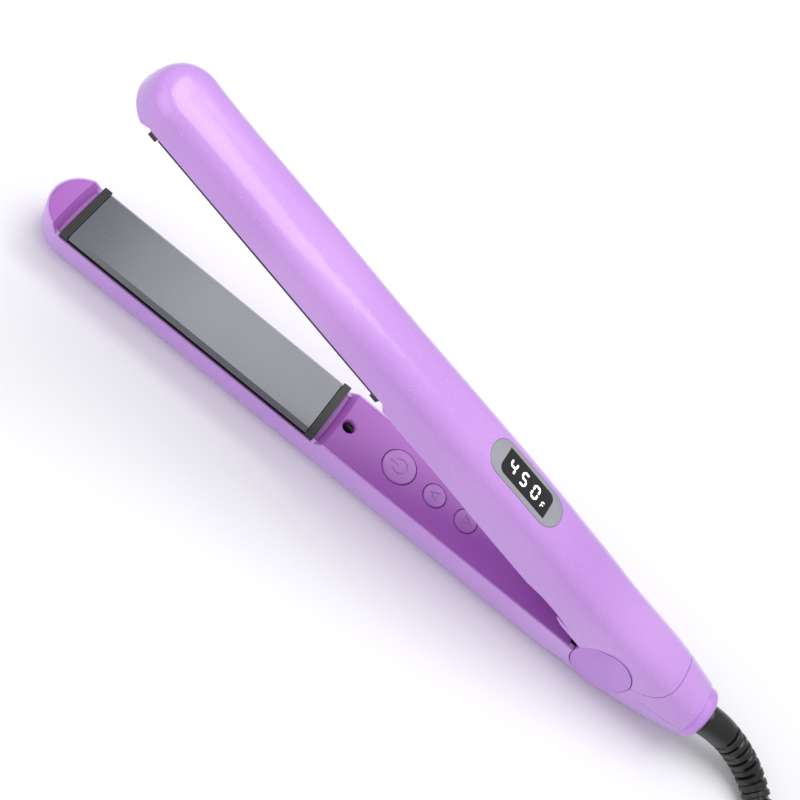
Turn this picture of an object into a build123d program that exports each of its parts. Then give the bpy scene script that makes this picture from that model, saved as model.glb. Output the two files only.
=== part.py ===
from build123d import *
import math
import os

# Flat iron (hair straightener) with 25 mm plates, resting open on the back of its lower arm.
# Everything is modelled about the hinge first: X runs along the arms with the tips at negative X,
# Z = 0 is the plane where the two plates meet, Y = 0 is the middle. The last step lifts the iron
# onto the floor and centres it. Millimetres and degrees throughout.

# ---- overall sizes -------------------------------------------------------------------------------
ARM_REACH = 248.0  # hinge axis to the tips
TAIL_REACH = 41.0  # hinge axis to the end of the tail
ARM_WIDTH = 26.2  # outer width of both arms
LOWER_DEPTH = 17.3  # closing plane down to the flat back of the lower arm
OPEN_ANGLE = 18.0  # angle between the arms at rest
RIM_DROP = 0.8  # each arm's rim lies this far behind the closing plane
WALL = 2.0  # shell wall
CROWN_CUT = 0.4  # height taken off the rounded back so that it lies flat

# ---- clearances ----------------------------------------------------------------------------------
FIT = 0.15  # round a piece that is fixed in its seat
SLIDE = 0.35  # round a piece that moves
SEAM = 0.35  # between the upper arm's tongue and the tail
COLLAR_STEP = 0.08  # the tail's upper half is drawn in this much from its rim
TOUCH_GAP = 0.15  # each plate's face behind the closing plane

# ---- plates --------------------------------------------------------------------------------------
PLATE_LENGTH = 102.0
PLATE_WIDTH = 24.8
PLATE_BEVEL = 1.4
PLATE_EDGE = 0.3  # upright edge under the bevel
PLATE_FLOAT = 0.8  # travel of a plate on its cushions
PLATE_FROM_HINGE = 130.5  # hinge axis to the plate's nearer end
HEAT_SPREADER_WIDTH = 15.0
HEAT_SPREADER_DEPTH = 2.4
FRAME_END = 3.4  # black frame beyond each end of the plate
FRAME_WIDTH = 25.2
FRAME_RIM = 0.7  # height of the frame's side rails, clear of a pressed plate
FRAME_END_DROP = 0.5  # frame ends behind the closing plane
STEP_DROP = 2.6  # the faces step down this far round the plates
STEP_REACH = 2.4  # the step starts this far beyond the frame at the sides
STEP_BULGE = 2.0  # and bulges this much further in the middle
HEATER_LENGTH = 84.0
HEATER_WIDTH = 12.0
HEATER_THICK = 2.2
CLAMP_THICK = 0.8
CUSHION_SIZE = 6.0
CUSHION_OFFSET = 34.0  # cushions either side of the plate's middle
CLAMP_LUG = 3.0  # clamp beyond each end of the heater
SHIELD_DEPTH = 10.9  # closing plane to the mica sheets
SHIELD_THICK = 0.5
SHIELD_WIDTH = 14.0
SHIELD_SHORT = 4.0  # sheet ends inside the plate's ends
SHIELD_RIB = 2.0
SENSOR_DIAMETER = 1.8
SENSOR_LENGTH = 3.2
TUB_DEPTH = 2.4
TUB_WIDTH = 20.8

# ---- handle faces --------------------------------------------------------------------------------
FACE_THICK = 2.0
RIM_WIDTH = 0.9  # shell rim left showing round a face
FACE_FROM_HINGE = 14.0  # the faces stop this far ahead of the hinge
FACE_BLOCK = 4.4  # depth of a face under the step
SCREW_PLACES = (50.0, 108.0)  # distances from the hinge
SCREW_HEAD = 4.4
SCREW_SHANK = 2.2
SCREW_LENGTH = 7.0
BOSS_DIAMETER = 5.4
SCREW_SINK = 0.2  # screw heads below the upper handle face
HEAD_THICK = 1.2
CROSS_LENGTH = 2.6
CROSS_WIDTH = 0.5
SLEEVE_HEIGHT = 5.0  # sleeves round the lower arm's screws
SLEEVE_FLOOR = 1.0
UPPER_POST_START = 4.8  # closing plane to the posts of the upper arm

# ---- buttons -------------------------------------------------------------------------------------
POWER_FROM_HINGE = 97.5
UP_FROM_HINGE = 81.7
DOWN_FROM_HINGE = 67.7
POWER_DIAMETER = 12.8
TEMPERATURE_DIAMETER = 8.6
BUTTON_PROUD = 0.45  # button tops above the face
BUTTON_TRAVEL = 0.7
BUTTON_FLANGE = 0.8  # flange beyond the button's side, and its thickness
SYMBOL_DEPTH = 0.25
SYMBOL_STROKE = 0.65
SWITCH_SIZE = 6.0
SWITCH_HEIGHT = 3.0
PLUNGER_HEIGHT = 0.4
PLUNGER_DIAMETER = 3.2
BOARD_LENGTH = 84.0
BOARD_WIDTH = 18.0
BOARD_THICK = 1.6
BOARD_HEIGHT = 7.1  # lower arm's back to the top of its board
BOARD_FROM_HINGE = 30.0
CHIP = (58.5, 7.0, 7.0, 1.4)  # distance from the hinge, length, width, height
TRIAC = (41.8, 4.5, 10.0, 4.5)
CAPACITOR = (35.0, 6.3, 6.5)  # distance from the hinge, diameter, height
TERMINAL = (25.5, 8.0, 10.0, 7.0)  # distance from the hinge, length, width, height
TERMINAL_DROP = 4.0  # under the level of the board's top
MAINS_LEAD = 1.6
MAINS_SPREAD = 1.6  # each lead to the middle
HEATER_LEAD = 1.4
HEATER_SPREAD = 5.0
HEATER_LEAD_DROP = 3.4  # under the heat spreader

# ---- guide pin -----------------------------------------------------------------------------------
GUIDE_FROM_HINGE = 119.7
GUIDE_PIN = 4.0
GUIDE_HOLE = 4.7
GUIDE_REACH = 2.5  # pin beyond the closing plane
GUIDE_SINK = 0.5  # countersink of the hole
GUIDE_FLANGE = 7.0
GUIDE_FLANGE_THICK = 1.5

# ---- display -------------------------------------------------------------------------------------
DISPLAY_FROM_HINGE = 74.9
BEZEL_LENGTH = 35.5
BEZEL_WIDTH = 12.8
WINDOW_LENGTH = 23.4
WINDOW_WIDTH = 9.3
WINDOW_CORNER = 2.6
BEZEL_THICK = 1.6
WINDOW_SUNK = 0.12
DISPLAY_BOARD = (34.0, 13.0, 1.6)  # length, width, thickness
DISPLAY_BOARD_LEVEL = 13.2  # closing plane to the top of the display board
LAMP_SHORT = 1.0
LAMP_HEIGHT = 2.6

# ---- hinge ---------------------------------------------------------------------------------------
PIN_DIAMETER = 4.0
PIN_LENGTH = 20.0
PIN_PLAY = 0.12  # radial, between the pin and the hub
FLOOR_STRIP = 15.0  # width of the lower casing's thickened floor
CAP_DIAMETER = 23.0
CAP_EDGE = 12.9  # middle to the rim of a cap's outer face
CAP_DOME = 0.8
CAP_THICK = 1.6
CAP_BOSS = 8.0
SHELL_CUT = 0.4  # the upper casing ends this far above the hinge axis beside the hub
SHELL_CUT_START = 12.5
HUB_DIAMETER = 11.0
HUB_LENGTH = 11.0
HUB_WEB_WIDTH = 4.0
HUB_WEB_AHEAD = 9.0
HUB_WEB_BEHIND = 5.0
CHEEK_THICK = 3.0
CHEEK_LENGTH = 11.0
SPRING_WIRE = 1.2
SPRING_RADIUS = 6.6
SPRING_TURNS = 3  # whole turns; the legs add half a turn and the opening angle
SPRING_LEG = 11.0
SKIRT_START = 27.0  # skirts of the upper shell: distances ahead of the hinge
SKIRT_DEEPEST = 23.5
SKIRT_END = 11.0
SKIRT_DROP = 1.1

# ---- tail, swivel and cord -----------------------------------------------------------------------
TAIL_AXIS_DROP = 2.0  # the tail's round end is centred this far below the hinge axis
TAIL_END_DIAMETER = 19.4
TAIL_BAND_DIAMETER = 21.7
TAIL_RING_LENGTH = 5.0
TAIL_RING_LINE = 0.1
END_ROUNDING = 2.4
SWIVEL_DIAMETER = 11.6
SWIVEL_FLANGE = 15.4
SWIVEL_FLANGE_THICK = 2.4
BOOT_DIAMETERS = (12.8, 12.4, 11.9, 11.4, 10.9, 10.4, 10.0)
CORD_DIAMETER = 6.5
HANK_LENGTH = 87.0
HANK_WIDTH = 58.5
HANK_HEIGHT = 26.0
TIE_WIDTH = 9.0
TIE_THICK = 1.2
RELIEF_LENGTH = 16.0
RELIEF_DIAMETERS = (8.4, 10.8)  # at the cord and at the plug
PLUG_ROUNDING = 3.0
PLUG_LENGTH = 26.0
PLUG_WIDTH = 24.0
PLUG_HEIGHT = 13.0
BLADE_LENGTH = 16.0
BLADE_SPACING = 12.7
BLADE_WIDTH = 6.3
BLADE_THICK = 1.5

# ---- worked out from the sizes above -------------------------------------------------------------
HALF = ARM_WIDTH / 2
CROWN = LOWER_DEPTH - RIM_DROP + CROWN_CUT  # height of the lower arm's arch
TIP_CENTRE = -(ARM_REACH - HALF)  # the tips are half rounds about this place
PLATE_MIDDLE = -(PLATE_FROM_HINGE + PLATE_LENGTH / 2)
FRAME_LENGTH = PLATE_LENGTH + 2 * FRAME_END
FRAME_FLOOR = RIM_DROP + STEP_DROP  # the frame stands this far behind the closing plane
FACE_HALF = HALF - RIM_WIDTH
FACE_UNDER = RIM_DROP + FACE_THICK
LIP_UNDER = TOUCH_GAP + PLATE_BEVEL + PLATE_EDGE
SPREADER_UNDER = LIP_UNDER + HEAT_SPREADER_DEPTH
HEATER_UNDER = SPREADER_UNDER + HEATER_THICK
CLAMP_UNDER = HEATER_UNDER + CLAMP_THICK
HOLE_RADIUS = CAP_DIAMETER / 2 + SLIDE
RING_START = TAIL_REACH - TAIL_RING_LENGTH
FLOOR_LEVEL = -LOWER_DEPTH
TAIL_START = -18.0  # the arms start to round off towards the tail here
# Upper arm: distance ahead of the hinge and height of the arch over its rim, and its squareness.
UPPER_CROWNS = ((HALF - ARM_REACH, 14.1), (-196.0, 14.3), (-150.0, 14.9), (-112.0, 16.3),
                (-75.0, 17.8), (-44.0, 17.9), (TAIL_START, 17.3))
UPPER_SQUARENESS = 3.4
LOWER_SQUARENESS = 4.5
TAIL_HALF = TAIL_BAND_DIAMETER / 2
END_HALF = TAIL_END_DIAMETER / 2
# Tail: place, half width, depth below and height above the rim line, squareness, lean of the section.
TAIL_SECTIONS = (
    (4.0, HALF - 0.1, CROWN - 0.5, 18.8, 3.3, 12.0),
    (22.0, HALF - 0.8, CROWN - 2.4, 13.9, 2.8, 5.0),
    (RING_START, TAIL_HALF, TAIL_HALF + TAIL_AXIS_DROP - RIM_DROP,
     TAIL_HALF - TAIL_AXIS_DROP + RIM_DROP, 2.15, 0.0),
    (TAIL_REACH, END_HALF, END_HALF + TAIL_AXIS_DROP - RIM_DROP,
     END_HALF - TAIL_AXIS_DROP + RIM_DROP, 2.1, 0.0),
)
# Side view of the seam between the upper arm's tongue and the tail, from the cap to the crown.
SEAM_SLANT = 0.6  # fall of the gap for each part that it moves back
SEAM_LINE = ((6.0, 1.4), (13.0, 3.0), (18.5, 6.4), (22.4, 11.6), (23.8, 17.0), (24.2, 24.0))
# Middle line of the cord's boot and then of the cord, from the tail to the hank.
BOOT_ROUTE = ((41.0, 0.0, -2.0), (49.0, 0.9, -3.0), (57.0, 1.4, -5.6), (65.0, 0.8, -8.7),
              (72.0, -1.6, -11.0), (77.6, -5.8, -12.0), (82.0, -10.8, -12.3))
CORD_ROUTE = ((82.0, -10.8, -12.3), (91.0, -19.6, -13.2), (103.0, -25.4, -13.9), (118.0, -27.5, -14.0),
              (136.0, -27.5, -14.0))
HANK_START = CORD_ROUTE[-2][0]
HANK_MIDDLE = CORD_ROUTE[-1][1] + (HANK_WIDTH - CORD_DIAMETER) / 2  # the cord runs into its near side
PLUG_SHIFT = 14.0  # the plug's relief reaches this far over the hank's round end
PLUG_Y = HANK_MIDDLE - HANK_WIDTH / 2 - TIE_THICK + PLUG_WIDTH / 2  # its side is level with the tie
PLUG_Z = FLOOR_LEVEL + PLUG_HEIGHT / 2
RELIEF_START = HANK_START + HANK_LENGTH - PLUG_SHIFT
PLUG_START = RELIEF_START + RELIEF_LENGTH
BOARD_DEPTH = LOWER_DEPTH - BOARD_HEIGHT  # closing plane to the top of the lower board
BUTTON_TOP = -RIM_DROP + BUTTON_PROUD
SWITCH_TOP = -BOARD_DEPTH + SWITCH_HEIGHT
BUTTONS = {
    "power_button": (POWER_FROM_HINGE, POWER_DIAMETER),
    "up_button": (UP_FROM_HINGE, TEMPERATURE_DIAMETER),
    "down_button": (DOWN_FROM_HINGE, TEMPERATURE_DIAMETER),
}


def half_arch(half_width, height, squareness, down, steps=6):
    """Points of half an arch from +Y to its crown; squareness 2 is a quarter of an ellipse."""
    sign = -1 if down else 1
    points = []
    for step in range(steps):
        angle = math.pi / 2 * step / steps
        across = math.cos(angle) ** (2 / squareness) * half_width
        points.append((across, sign * math.sin(angle) ** (2 / squareness) * height))
    return points + [(0.0, sign * height)]


def arch_face(x, z, half_width, height, squareness, lean=0.0, down=False, under=0.0):
    """A closed arch at one place along the arm, leaning back by some degrees.

    Its flat base lies at the rim, or some way under it for the hollow inside of a casing.
    """
    tilt = math.radians(lean)
    plane = Plane(origin=(x, 0, z), x_dir=(0, 1, 0), z_dir=(math.cos(tilt), 0, -math.sin(tilt)))
    sign = -1 if down else 1
    half = half_arch(half_width, height, squareness, down)
    crown = Spline(*half, tangents=[(0, sign), (-1, 0)])
    base = [(-half_width, 0.0), (half_width, 0.0)]
    if under:
        base[1:1] = [(-half_width, -sign * under), (half_width, -sign * under)]
    sides = [crown, mirror(crown, Plane.YZ).edge()]
    return plane * make_face(Wire(sides + [Line(a, b) for a, b in zip(base, base[1:])]))


def domed_tip(half_width, height, squareness, down=False, under=0.0):
    """The half round end of an arm: half an arch turned about the upright axis of the tip."""
    sign = -1 if down else 1
    half = half_arch(half_width, height, squareness, down)
    edge = Spline(*half, tangents=[(0, sign), (-1, 0)])
    base = [half[-1], (0.0, -sign * under), (half_width, -sign * under)]
    if under:
        base.append(half[0])
    outline = Wire([edge] + [Line(a, b) for a, b in zip(base, base[1:])])
    face = Plane(origin=(0, 0, 0), x_dir=(0, 1, 0), z_dir=(1, 0, 0)) * make_face(outline)
    return revolve(face, Axis.Z, 180)


def block(x0, x1, y0, y1, z0, z1):
    """A box from its lowest to its highest corner."""
    size = (x1 - x0, y1 - y0, z1 - z0)
    return Pos((x0 + x1) / 2, (y0 + y1) / 2, (z0 + z1) / 2) * Box(*size)


def rod(x, y, z0, z1, diameter):
    """An upright cylinder between two heights."""
    return Pos(x, y, (z0 + z1) / 2) * Cylinder(diameter / 2, z1 - z0)


def cross_rod(x, z, y0, y1, diameter):
    """A cylinder across the iron, along Y."""
    return Pos(x, (y0 + y1) / 2, z) * Rot(90, 0, 0) * Cylinder(diameter / 2, y1 - y0)


def swung_open(shape):
    """Turns a piece of the upper arm from closed to the open rest position."""
    return Rot(0, OPEN_ANGLE, 0) * shape


def flipped(shape):
    """The same piece for the other arm, above the closing plane."""
    return mirror(shape, about=Plane.XY)


def placed(shape):
    """Lifts the iron onto the floor and centres it along its length."""
    return Pos((ARM_REACH - TAIL_REACH) / 2, 0, LOWER_DEPTH) * shape


# ---- shells --------------------------------------------------------------------------------------
def lower_form(inset):
    """The lower arm and the lower half of the tail as a solid, smaller by the inset all round."""
    half, crown = HALF - inset, CROWN - inset
    faces = [arch_face(x, -RIM_DROP, half, crown, LOWER_SQUARENESS, down=True, under=inset)
             for x in (TIP_CENTRE, TAIL_START)]
    front = loft(faces, ruled=True)
    tip = Pos(TIP_CENTRE, 0, -RIM_DROP) * domed_tip(half, crown, LOWER_SQUARENESS, True, inset)
    rear_faces = [faces[-1]]
    for x, width, below, _, squareness, _ in TAIL_SECTIONS:
        rear_faces.append(arch_face(x, -RIM_DROP, width - inset, below - inset, squareness,
                                    down=True, under=inset))
    return front + tip + loft(rear_faces)


def upper_form(inset, under=None):
    """The upper arm, open, and the upper half of the tail as a solid, smaller by the inset.

    It reaches as far under the rim as the inset, or by its own depth.
    """
    under = inset if under is None else under
    tilt = math.radians(OPEN_ANGLE)
    faces = []
    for reach, crown in UPPER_CROWNS:
        x = reach * math.cos(tilt) + RIM_DROP * math.sin(tilt)
        z = -reach * math.sin(tilt) + RIM_DROP * math.cos(tilt)
        faces.append(arch_face(x, z, HALF - inset, crown - inset, UPPER_SQUARENESS, OPEN_ANGLE,
                               under=under))
    for x, width, _, above, squareness, lean in TAIL_SECTIONS:
        faces.append(arch_face(x, -RIM_DROP, width - inset, above - inset, squareness, lean,
                               under=under))
    tip = domed_tip(HALF - inset, UPPER_CROWNS[0][1] - inset, UPPER_SQUARENESS, under=under)
    return loft(faces) + swung_open(Pos(TIP_CENTRE, 0, RIM_DROP) * tip)


def seam_cutter(shift):
    """Everything behind and below the seam, moved back by the shift."""
    line = [(x + shift, z - shift * SEAM_SLANT) for x, z in SEAM_LINE]
    curve = Spline(*line, tangents=[(1, 0.12), (0.02, 1)])
    rear = 2 * TAIL_REACH
    corners = [line[-1], (rear, line[-1][1]), (rear, -rear), (-SHELL_CUT_START, -rear),
               (-SHELL_CUT_START, SHELL_CUT - shift), line[0]]
    outline = Wire([curve] + [Line(a, b) for a, b in zip(corners, corners[1:])])
    face = Plane.XZ * make_face(outline)
    return extrude(face, ARM_WIDTH, both=True)


def step_cutter():
    """The stepped-down stretch of the faces round a plate, with bulging sloped ends."""
    side = 24.0
    reach = FRAME_LENGTH / 2 + STEP_REACH
    bulge = reach + STEP_BULGE
    outline = Wire([
        Line((-reach, -side), (reach, -side)),
        ThreePointArc((reach, -side), (bulge, 0), (reach, side)),
        Line((reach, side), (-reach, side)),
        ThreePointArc((-reach, side), (-bulge, 0), (-reach, -side))])
    face = Plane(origin=(PLATE_MIDDLE, 0, -RIM_DROP)) * make_face(outline)
    return extrude(face, -STEP_DROP, taper=45)


def cap_hole():
    """Round openings for the hinge caps through both side walls."""
    inner = CAP_EDGE - CAP_THICK - SLIDE
    return [cross_rod(0, 0, inner, HALF + 3, 2 * HOLE_RADIUS),
            cross_rod(0, 0, -HALF - 3, -inner, 2 * HOLE_RADIUS)]


def face_outline(gap):
    """Plan of an arm's inner face: a long panel with a half round tip, larger by the gap."""
    half = FACE_HALF + gap
    front, back = TIP_CENTRE, -FACE_FROM_HINGE + gap
    outline = Wire([Line((back, -half), (front, -half)),
                    ThreePointArc((front, -half), (front - half, 0), (front, half)),
                    Line((front, half), (back, half)), Line((back, half), (back, -half))])
    return make_face(outline)


def face_seat():
    """Rebate in an arm's rim for its tip cover and handle face."""
    return extrude(Plane(origin=(0, 0, -RIM_DROP)) * face_outline(FIT), -FACE_THICK - FIT)


def frame_seat():
    """Room under the step for the plate frame's tub."""
    x0, x1 = PLATE_MIDDLE - FRAME_LENGTH / 2, PLATE_MIDDLE + FRAME_LENGTH / 2
    return block(x0 - FIT, x1 + FIT, -FRAME_WIDTH / 2 - FIT, FRAME_WIDTH / 2 + FIT,
                 -FRAME_FLOOR, -RIM_DROP + 1)


def screw_posts():
    """Posts of the upper casing with blind holes for the screws, as if on the lower arm."""
    top = -UPPER_POST_START - FIT
    deep = -RIM_DROP - SCREW_SINK - SCREW_LENGTH - FIT
    return [rod(-place, 0, -ARM_WIDTH, top, BOSS_DIAMETER) - rod(-place, 0, deep, top, SCREW_SHANK)
            for place in SCREW_PLACES]


def lower_shell():
    """Lower casing: an open tray, the round tail, hinge cheeks and screw posts."""
    shell = lower_form(0) - lower_form(WALL) - block(-300, 60, -20, 20, -40, FLOOR_LEVEL)
    floor = block(TIP_CENTRE + WALL, HUB_LENGTH, -FLOOR_STRIP / 2, FLOOR_STRIP / 2, FLOOR_LEVEL,
                  FLOOR_LEVEL + WALL)
    shell += floor & lower_form(0.2)
    collar = upper_form(COLLAR_STEP, WALL) - upper_form(WALL - COLLAR_STEP, 2 * WALL)
    collar &= seam_cutter(SEAM)
    shell += collar & block(0, TAIL_REACH, -HALF, HALF, -RIM_DROP, ARM_WIDTH)
    inner = HUB_LENGTH / 2 + SLIDE
    for side in (-1, 1):
        y0, y1 = sorted((side * inner, side * (inner + CHEEK_THICK)))
        cheek = block(-CHEEK_LENGTH / 2, CHEEK_LENGTH / 2, y0, y1, FLOOR_LEVEL + WALL / 2, 0)
        shell += cheek + cross_rod(0, 0, y0, y1, CHEEK_LENGTH)
    shell -= cross_rod(0, 0, -HALF, HALF, PIN_DIAMETER)
    shell = shell - step_cutter() - face_seat() - frame_seat()
    for hole in cap_hole():
        shell -= hole
    shell -= block(RING_START, TAIL_REACH + 1, -20, 20, -30, 30)
    for place in SCREW_PLACES:
        bore = SCREW_HEAD + 2 * FIT
        top = FLOOR_LEVEL + SLEEVE_HEIGHT
        shell -= rod(-place, 0, FLOOR_LEVEL - 1, FLOOR_LEVEL + WALL + 1, bore)
        sleeve = rod(-place, 0, FLOOR_LEVEL, top, bore + WALL)
        sleeve -= rod(-place, 0, FLOOR_LEVEL, top - SLEEVE_FLOOR, bore)
        shell += sleeve - rod(-place, 0, FLOOR_LEVEL, top, SCREW_SHANK + 2 * FIT)
    return shell


def upper_shell():
    """Upper casing with its tongue behind the hinge, the skirts by the hinge and the display hole."""
    shell = upper_form(0) - upper_form(WALL) - seam_cutter(0)
    beyond = block(-ARM_REACH - 1, -FACE_FROM_HINGE, -ARM_WIDTH, ARM_WIDTH, -RIM_DROP, 1)
    shell = shell - swung_open(flipped(beyond)) + skirts()
    for post in screw_posts():
        shell += swung_open(flipped(post)) & upper_form(WALL / 2)
    cuts = [flipped(cut) for cut in (step_cutter(), face_seat(), frame_seat())]
    cuts.append(extrude(Plane(origin=(-DISPLAY_FROM_HINGE, 0, 12)) * bezel_outline(FIT), 10))
    for cut in cuts:
        shell -= swung_open(cut)
    for hole in cap_hole():
        shell -= hole
    return shell


def skirts():
    """Two short wall stretches that reach below the rim just ahead of the hinge caps."""
    side = [(-SKIRT_START, RIM_DROP + 0.4), (-SKIRT_START, RIM_DROP),
            (-SKIRT_DEEPEST, RIM_DROP - SKIRT_DROP), (-SKIRT_END, RIM_DROP - SKIRT_DROP),
            (-SKIRT_END, RIM_DROP + 0.4)]
    face = Plane.XZ * make_face(Polyline(*side, close=True))
    band = extrude(face, HALF, both=True)
    band -= block(-60, 0, -FACE_HALF - 0.2, FACE_HALF + 0.2, -5, 5)
    return swung_open(band)


# ---- faces, frames and plates --------------------------------------------------------------------
def face_solid():
    """An arm's whole inner face before it is parted by the plate frame."""
    plan = Plane(origin=(0, 0, -RIM_DROP)) * face_outline(0)
    face = extrude(plan, -FACE_THICK)
    room = lower_form(WALL + 0.25)
    half = FRAME_LENGTH / 2 + STEP_REACH + STEP_BULGE + 1.5
    under = block(PLATE_MIDDLE - half, PLATE_MIDDLE + half, -HALF, HALF, -RIM_DROP - FACE_BLOCK,
                  -RIM_DROP)
    face += under & room
    face -= step_cutter()
    half = FRAME_LENGTH / 2 + FIT
    return face - block(PLATE_MIDDLE - half, PLATE_MIDDLE + half, -HALF, HALF, -20, 2)


def tip_cover():
    """Inner face of an arm's tip, up to the plate frame."""
    return face_solid() & block(-ARM_REACH - 1, PLATE_MIDDLE, -HALF, HALF, -20, 2)


def handle_face():
    """Inner face of an arm's handle, from the plate frame to the hinge."""
    return face_solid() & block(PLATE_MIDDLE, 0, -HALF, HALF, -20, 2)


def lower_handle_face():
    """Handle face with its button holes, the countersunk guide hole and screw posts."""
    face = handle_face()
    for place, diameter in BUTTONS.values():
        face -= rod(-place, 0, -10, 2, diameter + 2 * SLIDE)
    face -= rod(-GUIDE_FROM_HINGE, 0, -10, 2, GUIDE_HOLE)
    sink = Cone(GUIDE_HOLE / 2, GUIDE_HOLE / 2 + GUIDE_SINK, GUIDE_SINK)
    face -= Pos(-GUIDE_FROM_HINGE, 0, -RIM_DROP - GUIDE_SINK / 2) * sink
    for place in SCREW_PLACES:
        post = rod(-place, 0, FLOOR_LEVEL + SLEEVE_HEIGHT + FIT, -FACE_UNDER, BOSS_DIAMETER)
        face += post - rod(-place, 0, FLOOR_LEVEL, -FACE_UNDER - 2, SCREW_SHANK)
    return face


def upper_handle_face():
    """Handle face of the upper arm, above the closing plane: screw seats and the pin's hole."""
    face = handle_face()
    seat = -RIM_DROP - SCREW_SINK - HEAD_THICK
    for place in SCREW_PLACES:
        face += rod(-place, 0, -UPPER_POST_START, -FACE_UNDER, BOSS_DIAMETER)
        face -= rod(-place, 0, -10, 2, SCREW_SHANK + 2 * FIT)
        face -= rod(-place, 0, seat, 2, SCREW_HEAD + 2 * FIT)
    face -= rod(-GUIDE_FROM_HINGE, 0, -10, -FACE_UNDER, GUIDE_FLANGE + 2 * FIT)
    return flipped(face - rod(-GUIDE_FROM_HINGE, 0, -10, 2, GUIDE_PIN))


def plate_frame():
    """Black frame: side rails under the plate's lips, end bars, and a tub with an open floor."""
    half = FRAME_LENGTH / 2
    x0, x1 = PLATE_MIDDLE - half, PLATE_MIDDLE + half
    frame = block(x0, x1, -FRAME_WIDTH / 2, FRAME_WIDTH / 2, -FRAME_FLOOR, -FRAME_FLOOR + FRAME_RIM)
    bar = FRAME_END - SLIDE
    for start in (x0, x1 - bar):
        frame += block(start, start + bar, -FRAME_WIDTH / 2, FRAME_WIDTH / 2,
                       -FRAME_FLOOR, -FRAME_END_DROP)
    frame += block(x0 + 1, x1 - 1, -TUB_WIDTH / 2, TUB_WIDTH / 2, -FRAME_FLOOR - TUB_DEPTH, -FRAME_FLOOR)
    opening = HEAT_SPREADER_WIDTH / 2 + SLIDE
    end = PLATE_LENGTH / 2 - 2
    frame -= block(PLATE_MIDDLE - end - SLIDE, PLATE_MIDDLE + end + SLIDE, -opening, opening, -20, 2)
    return frame


def plate():
    """Heated plate: flat face, bevelled long edges and a narrower heat spreader beneath."""
    half, width = PLATE_LENGTH / 2, PLATE_WIDTH / 2
    top, edge = -TOUCH_GAP, -TOUCH_GAP - PLATE_BEVEL
    spread = HEAT_SPREADER_WIDTH / 2
    section = [(-width + PLATE_BEVEL, top), (width - PLATE_BEVEL, top), (width, edge),
               (width, -LIP_UNDER), (-width, -LIP_UNDER), (-width, edge)]
    face = Plane.YZ * make_face(Polyline(*section, close=True))
    body = Pos(PLATE_MIDDLE, 0, 0) * extrude(face, half, both=True)
    end = half - 2
    return body + block(PLATE_MIDDLE - end, PLATE_MIDDLE + end, -spread, spread,
                        -SPREADER_UNDER, -LIP_UNDER)


def heater():
    """Ceramic heating strip pressed against the spreader."""
    half = HEATER_LENGTH / 2
    return block(PLATE_MIDDLE - half, PLATE_MIDDLE + half, -HEATER_WIDTH / 2, HEATER_WIDTH / 2,
                 -HEATER_UNDER, -SPREADER_UNDER)


def heater_clamp():
    """Steel strip that holds the heater, with a lug at each end up to the spreader."""
    half = HEATER_LENGTH / 2 + CLAMP_LUG
    x0, x1 = PLATE_MIDDLE - half, PLATE_MIDDLE + half
    clamp = block(x0, x1, -HEATER_WIDTH / 2, HEATER_WIDTH / 2, -CLAMP_UNDER, -HEATER_UNDER)
    for start in (x0, x1 - 2):
        clamp += block(start, start + 2, -HEATER_WIDTH / 2, HEATER_WIDTH / 2,
                       -HEATER_UNDER, -SPREADER_UNDER)
    return clamp


def cushions():
    """Two silicone pads that let the plate float."""
    half = CUSHION_SIZE / 2
    middles = [PLATE_MIDDLE + side * CUSHION_OFFSET for side in (-1, 1)]
    return [block(x - half, x + half, -half, half, -SHIELD_DEPTH, -CLAMP_UNDER - PLATE_FLOAT - 0.1)
            for x in middles]


def heat_shield():
    """Mica sheet under the cushions, on two ribs down to the casing."""
    half, width = PLATE_LENGTH / 2 - SHIELD_SHORT, SHIELD_WIDTH / 2
    back = -SHIELD_DEPTH - SHIELD_THICK
    sheet = block(PLATE_MIDDLE - half, PLATE_MIDDLE + half, -width, width, back, -SHIELD_DEPTH)
    for side in (-1, 1):
        x = PLATE_MIDDLE + side * CUSHION_OFFSET
        sheet += block(x - SHIELD_RIB / 2, x + SHIELD_RIB / 2, -width, width,
                       FLOOR_LEVEL + WALL, back)
    return sheet


def thermistor():
    """Glass bead sensor beside the heater."""
    radius = SENSOR_DIAMETER / 2
    x = PLATE_MIDDLE + HEATER_LENGTH / 2 + CLAMP_LUG + 0.5 + SENSOR_LENGTH / 2
    bead = Rot(0, 90, 0) * Cylinder(radius, SENSOR_LENGTH)
    return Pos(x, 0, -SPREADER_UNDER - radius) * bead


# ---- controls ------------------------------------------------------------------------------------
def power_symbol():
    """Broken ring and bar, bar towards the tip."""
    radius = POWER_DIAMETER * 0.215
    ring = Circle(radius + SYMBOL_STROKE / 2) - Circle(radius - SYMBOL_STROKE / 2)
    ring -= Pos(-radius, 0) * Rectangle(radius * 1.1, radius * 1.25)
    return ring + Pos(-radius * 0.85, 0) * Rectangle(radius * 1.35, SYMBOL_STROKE)


def arrow_symbol(direction):
    """Triangle outline that points along X."""
    size = TEMPERATURE_DIAMETER * 0.27
    outer = RegularPolygon(size, 3)
    return Rot(0, 0, 0 if direction > 0 else 180) * (outer - RegularPolygon(size * 0.5, 3))


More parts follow.
